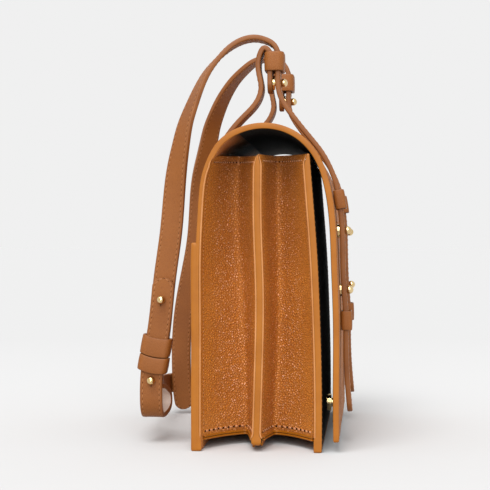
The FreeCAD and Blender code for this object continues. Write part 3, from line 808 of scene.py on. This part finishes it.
def make_divider():
    s = steps(0, divider.length, 1.6)
    half = divider_half(divider.frames(s)[0][:, 2])
    panel = band("divider_leather", divider, s, HALF, half, -half, 0.3, [SUEDE, EDGES, SUEDE], WALL_STEPS,
                 end_radius=2.4)
    stand_for(panel, "bridle_leather", ("divider_panel",))
    reach = (divider.at_height(165), divider.length - POINT_HEIGHT)
    near, far = DIVIDER_LEATHER / 2 + SUEDE_SHEET, DIVIDER_LEATHER / 2 - TUCK
    look = ("facing_leather", FACING, 12, 3.0)
    lining("divider_facing_rear", divider, *reach, near, far, ("divider_facings",), *look)
    lining("divider_facing_front", divider, *reach, -far, -near, (), *look)


# ---------------------------------------------------------------- gussets
def compartment(height, rear):
    """Where the two leather faces that a gusset spans are, at a height."""
    divider_y = divider.take(divider.points, divider.at_height(height))[1]
    half = float(divider_half(height))
    if rear:
        place, _, _, normal = shell.frames(shell.at_height(height, 0, 0.45))
        return place[1] - LEATHER / max(normal[1], 0.5), divider_y + half
    front_y = front.take(front.points, front.at_height(height))[1]
    return divider_y - half, front_y + FRONT_LEATHER - FRONT_POINT * float(point_share(height, FRONT_TOP))


def flange(height):
    """Half the thickness of a gusset's flanges, which are skived to nothing at the top."""
    return GUSSET / 2 * (0.85 - 0.6 * float(point_share(height, GUSSET_TOP)))


def fold(height, rear, seed):
    """Plan view of a gusset from its rear flange to its front one, as points (x, y)."""
    y_start, y_end = compartment(height, rear)
    y_start, y_end = y_start - flange(height), y_end + flange(height)
    share_up = (height - GUSSET_FOOT) / (GUSSET_TOP - GUSSET_FOOT)
    foot, top = (0.84, 0.53) if rear else (0.16, 0.29)
    soft = 0.6 * math.sin(height / 23 + seed) + 0.4 * math.sin(height / 11 + 2 * seed)
    valley = foot + (top - foot) * share_up ** 0.75 + 0.006 * soft
    mouth = -HALF + FLANGE_WIDTH - 2.5
    depth = FOLD_DEPTH + 1.2 + 0.5 * soft
    points = [(-HALF, y_start), (-HALF + 2.4, y_start)]
    for i in range(-16, 17):
        along = 1 - abs(i) / 16
        share = valley * along if i < 0 else 1 - (1 - valley) * along
        inward = 0.55 * math.sin(math.pi / 2 * along) ** 0.8 + 0.45 * along
        bow = 0.012 * math.sin(2 * math.pi * along + height / 40 + seed) * math.sin(math.pi * along)
        points.append((mouth + depth * inward, y_start + (y_end - y_start) * (share + bow)))
    points += [(-HALF + 2.4, y_end), (-HALF, y_end)]
    return points


def gusset_surface(height, rear, seed, count=52):
    """Even points of the fold at a height, with their normals out of the bag and half thicknesses.

    The top edge rises towards the fold, and is a little higher on the front gusset."""
    line = np.array([(x, y, height) for x, y in fold(height, rear, seed)])
    lengths = lengths_along(line)
    s = np.linspace(0, lengths[-1], count)
    points = sample(line, lengths, s)
    for _ in range(9):
        points[1:-1] = (points[:-2] + 2 * points[1:-1] + points[2:]) / 4
    tangent = unit(np.gradient(points, axis=0))
    normal = np.stack([tangent[:, 1], -tangent[:, 0], np.zeros(count)], axis=-1)
    from_edge = np.minimum(s, lengths[-1] - s)
    half = flange(height) + (GUSSET / 2 - flange(height)) * smooth_step(from_edge, 3, 9)
    near_top = smooth_step(height, GUSSET_TOP - 45, GUSSET_TOP)
    cut, raised = (1.9, 0) if rear else (1.3, FRONT_GUSSET_RISE)
    points[:, 2] += near_top * (cut * (points[:, 0] + HALF) / FOLD_DEPTH + raised)
    return points, normal, half[:, None]


def gusset_seed(rear, side):
    return (1.3 if rear else 4.1) + (0 if side < 0 else 2.2)


def make_sheet(name, outer, inner, materials):
    """A closed sheet between a grid of outer points and a like grid of inner ones."""
    rows, count = len(outer), len(outer[0])
    total = rows * count
    faces, indices = [], []
    for i in range(rows - 1):
        for k in range(count - 1):
            a, b = i * count + k, i * count + k + 1
            c, d = b + count, a + count
            faces += [(a, b, c, d), (total + a, total + d, total + c, total + b)]
            indices += [OUTER, INNER]
        for k in (0, count - 1):
            a, d = i * count + k, (i + 1) * count + k
            faces.append((a, d, total + d, total + a))
            indices.append(BEVEL)
    for k in range(count - 1):
        for i in (0, rows - 1):
            a, b = i * count + k, i * count + k + 1
            faces.append((a, total + a, total + b, b))
            indices.append(EDGE)
    vertices = np.concatenate([np.reshape(outer, (-1, 3)), np.reshape(inner, (-1, 3))])
    piece = make_object(name, vertices, faces, materials, indices)
    tidy_normals(piece)
    return piece


def make_gusset(rear, side):
    """One side bellows with its hem, fine seams down both edges and heavier ones at its top and foot."""
    name = "%s_gusset_%s" % ("rear" if rear else "front", "left" if side < 0 else "right")
    seed = gusset_seed(rear, side)
    mirror = np.array([-side, 1, 1])
    heights = [GUSSET_FOOT, GUSSET_FOOT + 0.35, *np.linspace(GUSSET_FOOT + 1.2, GUSSET_TOP - 1.2, 90),
               GUSSET_TOP - 0.35, GUSSET_TOP]
    insets = [0.45, 0.15, *np.zeros(90), 0.15, 0.45]
    outer, inner = [], []
    for height, inset in zip(heights, insets):
        points, normal, half = gusset_surface(height, rear, seed)
        thick = normal * np.maximum(half - inset, 0.1)
        outer.append((points + thick) * mirror)
        inner.append((points - thick) * mirror)
    # The flange edges take the lighter edge paint, a painted highlight.
    piece = make_sheet(name + "_leather", outer, inner, [GUSSETS, EDGES, SUEDE, EDGE_HIGHLIGHT])
    stand_for(piece, "gusset_leather", (name,))
    make_hem(name, rear, side)
    seams = Stitching(name + "_stitching", RED_THREAD)
    for height, pitch, radius in ((GUSSET_TOP - 4.4, 3.1, 0.62), (GUSSET_FOOT + 3.6, 4.9, 0.85)):
        points, normal, half = gusset_surface(height, rear, seed)
        raised = (points + normal * (half + 0.28)) * mirror
        seams.run(raised[5:-5], normal[5:-5] * mirror, pitch, radius, 0.55)
    levels = np.linspace(GUSSET_FOOT + 5, GUSSET_TOP - 4, 60)
    rows = [gusset_surface(height, rear, seed) for height in levels]
    for end in (4, -5):
        points = np.array([points[end] + normal[end] * half[end] for points, normal, half in rows])
        normals = np.array([normal[end] for _, normal, _ in rows])
        seams.run(points * mirror, normals * mirror, FINE_PITCH, 0.3)
    seams.finish()


def make_hem(name, rear, side):
    """The gusset's lower edge: its own painted edge and, under it, the edge of the floor sewn to it."""
    points = gusset_surface(GUSSET_FOOT, rear, gusset_seed(rear, side))[0][5:-5] * [-side, 1, 0]
    for number, (middle, half_height, half_depth) in enumerate(((9.4, 0.85, 1.0), (7.5, 0.7, 1.1))):
        line = Line(points + [0, 0, middle], np.tile([0, 0, 1.0], (len(points), 1)))
        strip = band("%s_hem_%d" % (name, number + 1), line, steps(0, line.length, 2.0), half_height,
                     half_depth, -half_depth, 0.45, [EDGES] * 3)
        tidy_normals(strip)
        stand_for(strip, "gusset_leather", ())


def make_bottom(rear):
    """Compartment floor whose ends follow the side folds, with flanges turned down both panels."""
    name = "rear_bottom_gusset" if rear else "front_bottom_gusset"
    y_start, y_end = compartment(FLOOR_HEIGHT, rear)
    y_start, y_end = y_start - 0.9, y_end + 0.9
    foot = 2.0 if rear else 3.0
    level = 11.2
    radius = 2.5
    quarter = np.linspace(0, math.pi / 2, 6)
    bend_in, bend_up = radius * (1 - np.cos(quarter)), radius * (1 - np.sin(quarter))
    share = np.arange(1, 9) / 9
    across = y_start - radius + (y_end - y_start + 2 * radius) * share
    path_y = [[y_start], y_start - bend_in, across, y_end + bend_up, [y_end]]
    path_z = [[foot], level - bend_up, level + 0.9 * np.sin(math.pi * share), level - bend_in, [foot]]
    path = np.stack([np.concatenate(path_y), np.concatenate(path_z)], axis=-1)
    ends = np.array(fold(FLOOR_HEIGHT, rear, gusset_seed(rear, -1))[1:-1])
    ends = ends[np.argsort(ends[:, 1])]
    limits = np.maximum(np.interp(path[:, 0], ends[:, 1], ends[:, 0]) - 0.3, -HALF + 4.5)
    tangent = unit(np.gradient(path, axis=0))
    normal = np.stack([-tangent[:, 1], tangent[:, 0]], axis=-1) * GUSSET / 2
    grids = []
    for face in (path + normal, path - normal):
        rows = [(np.linspace(limit, -limit, 24), y, z) for limit, (y, z) in zip(limits, face)]
        grids.append([[(x, y, z) for x in xs] for xs, y, z in rows])
    piece = make_sheet(name + "_leather", *grids, [GUSSETS, EDGES, GUSSETS, EDGES])
    stand_for(piece, "gusset_leather", (name,))


# ---------------------------------------------------------------- straps
def strap_piece(name, line, s, widths, nodes, crown=0.1, outside=STRAPS, **place):
    piece = band(name, line, s, widths, BELT / 2, -BELT / 2, STRAP_ROUNDING, [outside, STRAP_EDGES, STRAPS],
                 STRAP_STEPS, crown)
    stand_for(piece, "strap_leather", nodes, **place)


def make_belts():
    seams = Stitching("belt_stitching")
    for side, x in SIDES:
        line = profile(BELT_RUN, x)
        s, widths = with_tips(0.5, line.length, 1.6, BELT_WIDTH / 2, tail=True)
        nodes = ("belt_" + side, "belt_top_" + side)
        strap_piece("belt_leather_" + side, line, s, widths, nodes, 0.12, bend=HINGE)
        side_seams(seams, line, s[s > 3], widths[s > 3], BELT / 2 + 0.05)
    seams.finish(bend=HINGE)


def make_hangers():
    seams = Stitching("hanger_stitching")
    for side, x in SIDES:
        line = profile(HANGER, x)
        s, widths = with_tips(0.3, line.length, 1.2, BELT_WIDTH / 2, tail=True)
        strap_piece("hanger_leather_" + side, line, s, widths, ("hanger_" + side,))
        side_seams(seams, line, s[3:], widths[3:], BELT / 2 + 0.03)
    seams.finish()


def strap_points(rows, first, second):
    """Stations of a flat strap: where its middle is, and its width direction between two axes."""
    points = [at(forward, height, x) for x, forward, height, _ in rows]
    turns = [math.radians(row[3]) for row in rows]
    acrosses = [np.array(first) * math.cos(turn) + np.array(second) * math.sin(turn) for turn in turns]
    return points, acrosses


def make_strap():
    """Sling strap: the left strap with its run across to the right one, and the adjuster's folded loop."""
    seams = Stitching("strap_stitching")
    x_axis, y_axis, z_axis = (1.0, 0, 0), (0, 1.0, 0), (0, 0, 1.0)
    upper = strap_points(STRAP_LEFT, x_axis, y_axis)
    across = strap_points(CROSS_RUN, y_axis, z_axis)
    runs = (("left", (upper[0] + across[0], upper[1] + across[1])),
            ("right", strap_points(STRAP_RIGHT, x_axis, y_axis)),
            ("lower", strap_points(STRAP_LOWER, y_axis, z_axis)))
    for name, (points, acrosses) in runs:
        folded = name == "lower"
        line = Line(points, acrosses, 1200)
        s, widths = with_tips(0.3, line.length, 1.4, STRAP_WIDTH / 2, head=folded, tail=not folded)
        strap_piece("strap_leather_" + name, line, s, widths, ("strap_" + name,),
                    outside=BACKS if folded else STRAPS, bend=STRAP_BEND)
        side_seams(seams, line, s, widths, -BELT / 2 + 0.03, sign=-1)
        if not folded:
            side_seams(seams, line, s, widths, BELT / 2 + 0.05)
    for height in BUTTONHOLES:
        buttonhole(seams, -84.3 - BELT / 2, height)
    seams.finish(bend=STRAP_BEND)


def buttonhole(stitching, x, height):
    """A cut hole behind a stud, with the slit that lets the stud's head through, both as dark marks of
    painted shade.
    """
    share = (121 - height) / (121 - 47)
    out, down = np.array([-1.0, 0, 0]), np.array([0, 0, -1.0])
    centre = at(-61.8 - 8.9 * share, height, x - 0.02)
    stitching.hole(centre, out, down, BUTTONHOLE_RADIUS)
    for step in range(6):
        stitching.hole(centre + down * (BUTTONHOLE_RADIUS + 0.45 * step), out, down, 0.36)


def keeper(name, nodes, centre, up, across, depth, width, wall, height, body, sag=0.3):
    """A loose leather loop: a strip carried round a rounded rectangle about the strap's direction."""
    up, across = unit(np.array(up, float)), np.array(across, float)
    across = unit(across - up * across.dot(up))
    through = np.cross(up, across)
    half_w, half_d = (width + wall) / 2, (depth + wall) / 2
    corner = min(half_w, half_d) * 0.55
    outline = []
    for quarter, (sx, sy) in enumerate(((1, 1), (-1, 1), (-1, -1), (1, -1))):
        for turn in np.linspace(quarter, quarter + 1, 7) * math.pi / 2:
            outline.append((sx * (half_w - corner) + corner * math.cos(turn),
                            sy * (half_d - corner) + corner * math.sin(turn)))
    outline = np.array(outline + outline[:1])
    lengths = lengths_along(outline)
    s = np.linspace(0, lengths[-1], 61)[:-1]
    places = sample(outline, lengths, s)
    tangents = unit(np.roll(places, -1, axis=0) - np.roll(places, 1, axis=0))
    section = ring(height / 2, wall / 2, -wall / 2, 0.55, 4)
    vertices = []
    for (u, v), (along_u, along_v) in zip(places, tangents):
        base = centre + across * u + through * v - up * sag * (1 - (u / half_w) ** 2)
        outward = across * along_v - through * along_u
        for rise, out, _ in section:
            bulge = 0.25 * (1 - (2 * rise / height) ** 2)
            vertices.append(base + up * rise + outward * (out + bulge))
    faces, indices = tube(len(s), [zone for _, _, zone in section], closed=True)
    piece = make_object(name, vertices, faces, [STRAPS, STRAP_EDGES, STRAPS], indices)
    tidy_normals(piece)
    stand_for(piece, "strap_leather", nodes, body)


def make_keepers():
    for side, x in SIDES:
        line = profile(BELT_RUN, x)
        for level, height in BELT_KEEPERS:
            place, tangent, across, normal = line.frames(line.at_height(height, 0.4, 1))
            keeper("%s_belt_loop_%s" % (level, side), ("belt_keeper_%s_%s" % (level, side),),
                   place + normal * 0.5, -tangent, across, BELT + 1.6, BELT_WIDTH + KEEPER_ROOM, 1.3,
                   KEEPER_HEIGHT, "%s_belt_keeper_%s" % (level, side))
        keeper("hanger_loop_" + side, ("hanger_keeper_" + side,), at(*HANGER_KEEPER, x), (0, 0, 1),
               (1, 0, 0), 10.6, BELT_WIDTH + KEEPER_ROOM, KEEPER_WALL, KEEPER_HEIGHT, "top_keeper_" + side)
    loops = (("strap_loop_1", ("strap_keepers",), 65.3, 13.6), ("strap_loop_2", (), 53.4, 11.5))
    for name, nodes, low, height in loops:
        middle = low + height / 2
        centre = at(-66 - (80 - middle) * 4 / 24, middle, -82.15)
        keeper(name, nodes, centre, (0, -4.6, 24), (0, 1, 0), 9.4, STRAP_WIDTH + 2 * KEEPER_ROOM,
               KEEPER_WALL, height, "adjuster_keepers", sag=1.4)


def finish_metal():
    """Metal keeps its CAD mesh and gets a better material."""
    brass = ("belt_studs", "hanger_studs", "strap_studs", "magnet_socket", "magnet_stud")
    steel = ("belt_stud_screws", "magnet_socket_washer")
    for nodes, material in ((brass, BRASS), (steel, STEEL)):
        for node in nodes:
            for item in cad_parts[node].material_slots:
                item.material = material


# ---------------------------------------------------------------- camera and light
def make_stage():
    """A wide pale floor under an even sky of the same brightness, so that no horizon shows. Within 0.2 m of
    the middle the floor is a little lighter, fading out by 1 m: painted light that offsets the bag's shade
    on it.
    """
    reach = 60.0
    mesh = bpy.data.meshes.new("floor")
    corners = [(-reach, -reach, 0), (reach, -reach, 0), (reach, reach, 0), (-reach, reach, 0)]
    mesh.from_pydata(corners, [], [(0, 1, 2, 3)])
    material, shader, coords = nodes_of("studio_floor")
    distance = node_beside(coords, "VectorMath")
    distance.operation = "LENGTH"
    link(coords, distance.inputs[0])
    near, far = [(albedo,) * 3 for albedo in FLOOR_ALBEDOS_WITH_PAINTED_LIGHT]
    dye(shader, distance.outputs["Value"], near, far, (0.2, 1.0))
    gloss(shader, 1.0, 0.0)
    mesh.materials.append(material)
    add_object("floor", mesh)


def sun(name, towards, strength, softness):
    """A wide soft sun, which lights the whole floor evenly."""
    light = bpy.data.lights.new(name, "SUN")
    light.energy = strength
    light.angle = math.radians(softness)
    lamp = add_object(name, light)
    lamp.rotation_euler = Vector(towards).to_track_quat("-Z", "Y").to_euler()


def make_lights():
    world = bpy.data.worlds.new("studio")
    bpy.context.scene.world = world
    world.use_nodes = True
    background = world.node_tree.nodes["Background"]
    background.inputs["Color"].default_value = (BACKDROP, BACKDROP, BACKDROP, 1)
    background.inputs["Strength"].default_value = 1.0
    sun("key", (0.46, -0.14, -0.866), 2.3, 35)
    sun("fill", (0.90, 0.10, -0.42), 1.75, 40)


def make_camera():
    """Level camera facing the bag's side, turned a little off its width."""
    camera = bpy.data.cameras.new("camera")
    camera.sensor_width = SENSOR
    camera.lens = SENSOR * FOCAL_RATIO
    lens = add_object("camera", camera)
    lens.location = CAMERA_PLACE
    lens.rotation_euler = (math.radians(90), 0, CAMERA_TURN)
    bpy.context.scene.camera = lens
    bpy.context.scene.view_settings.view_transform = "Standard"


make_camera()
make_shell()
make_back_pocket()
make_front()
make_divider()
for is_rear in (True, False):
    for hand in (-1, 1):
        make_gusset(is_rear, hand)
    make_bottom(is_rear)
make_belts()
make_hangers()
make_strap()
make_keepers()
finish_metal()
make_stage()
make_lights()
